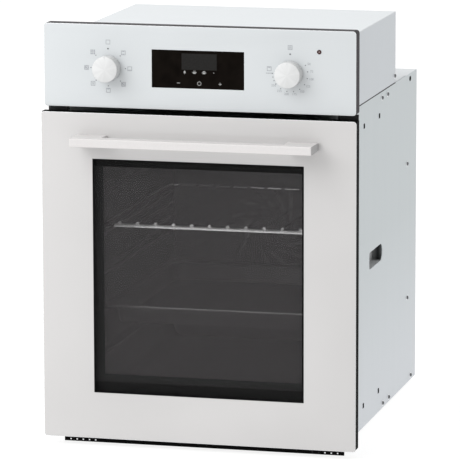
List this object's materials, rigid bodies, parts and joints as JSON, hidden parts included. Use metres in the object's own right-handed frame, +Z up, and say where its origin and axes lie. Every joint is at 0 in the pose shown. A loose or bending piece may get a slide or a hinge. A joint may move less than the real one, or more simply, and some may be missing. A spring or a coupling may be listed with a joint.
{
  "type": "built-in wall oven",
  "caption": "Narrow built-in electric oven with a drop-down glass door, bar handle, glass control panel with two dials and a display, and a zinc-coated case for a kitchen niche.",
  "frame": {"origin": "centre of the foot pressed into the case's underside, midway between the front and rear edges of the side panels", "axes": "+X to the user's right, +Y from the door into the niche, +Z up"},
  "size_m": [0.446, 0.5865, 0.5925],
  "materials": {
    "white_glass": "gloss, printed white on the back",
    "clear_glass": "clear",
    "black_glass": "gloss black",
    "zinc_sheet": "dull zinc-coated sheet",
    "black_enamel": "glossy vitreous enamel",
    "black_paint": "satin black",
    "white_paint": "satin white",
    "white_plastic": "satin white",
    "black_plastic": "matt black",
    "red_plastic": "clear red",
    "heater_steel": "dull steel",
    "fan_alloy": "plain sheet",
    "chrome_wire": "bright",
    "seal_rubber": "matt black",
    "mineral_wool": "loose fibre"
  },
  "bodies": {
    "case": {"base_pan": "zinc_sheet", "blower_housing": "zinc_sheet", "blower_motor": "heater_steel", "bottom_element": "heater_steel", "bottom_vent_trim": "black_paint", "cable_gland": "black_plastic", "carry_grips": "zinc_sheet", "cavity_back": "black_enamel", "cavity_floor": "black_enamel", "cavity_roof": "black_enamel", "cavity_side_left": "black_enamel", "cavity_side_right": "black_enamel", "control_box_back": "zinc_sheet", "control_box_cover": "zinc_sheet", "control_carrier": "black_plastic", "control_glass": "white_glass", "convection_motor": "heater_steel", "cooling_deck": "zinc_sheet", "display_module": "black_plastic", "display_window": "black_glass", "door_seal": "seal_rubber", "fan_cover": "black_enamel", "front_frame": "black_enamel", "grill_element": "heater_steel", "hinge_arms": "heater_steel", "hinge_receivers": "heater_steel", "insulation_wrap": "mineral_wool", "lamp_bulb": "clear_glass", "lamp_holder": "zinc_sheet", "lamp_lens": "clear_glass", "pilot_lamp": "red_plastic", "rear_panel": "zinc_sheet", "rear_top_cover": "zinc_sheet", "selector_switch": "black_plastic", "side_panel_left": "zinc_sheet", "side_panel_right": "zinc_sheet", "temperature_probe": "heater_steel", "terminal_block": "black_plastic", "thermostat": "heater_steel"},
    "door": {"door_glass": "white_glass", "door_stile_left": "black_paint", "door_stile_right": "black_paint", "door_top_rail": "black_paint", "door_bottom_rail": "black_paint", "door_middle_glass": "clear_glass", "door_inner_glass": "clear_glass", "hinge_cases": "heater_steel", "door_handle": "white_paint"},
    "function_dial": {"function_knob": "white_plastic", "selector_shaft": "heater_steel"},
    "thermostat_dial": {"thermostat_knob": "white_plastic", "thermostat_shaft": "heater_steel"},
    "oven_fan": {"convection_fan": "fan_alloy"},
    "cooling_rotor": {"blower_rotor": "fan_alloy"},
    "rack": {"wire_rack": "chrome_wire"},
    "tray": {"baking_tray": "black_enamel"}
  },
  "joints": [
    {"name": "door_hinge", "type": "hinge", "parent": "case", "child": "door", "pos_m": [0, -0.274, 0.022], "axis": [1, 0, 0], "range_deg": [0, 90], "stiffness_Nm_per_rad": 7, "springref_deg": -8.59},
    {"name": "function_turn", "type": "hinge", "parent": "case", "child": "function_dial", "pos_m": [-0.1285, -0.277, 0.532], "axis": [0, 1, 0], "continuous": true},
    {"name": "thermostat_turn", "type": "hinge", "parent": "case", "child": "thermostat_dial", "pos_m": [0.1285, -0.277, 0.532], "axis": [0, 1, 0], "range_deg": [0, 274]},
    {"name": "oven_fan_spin", "type": "hinge", "parent": "case", "child": "oven_fan", "pos_m": [0, 0.172, 0.24], "axis": [0, 1, 0], "continuous": true},
    {"name": "cooling_spin", "type": "hinge", "parent": "case", "child": "cooling_rotor", "pos_m": [0, 0.013, 0.482], "axis": [1, 0, 0], "continuous": true},
    {"name": "rack_slide", "type": "slide", "parent": "case", "child": "rack", "axis": [0, -1, 0], "range_m": [0, 0.038]},
    {"name": "tray_slide", "type": "slide", "parent": "case", "child": "tray", "axis": [0, -1, 0], "range_m": [0, 0.038]}
  ]
}
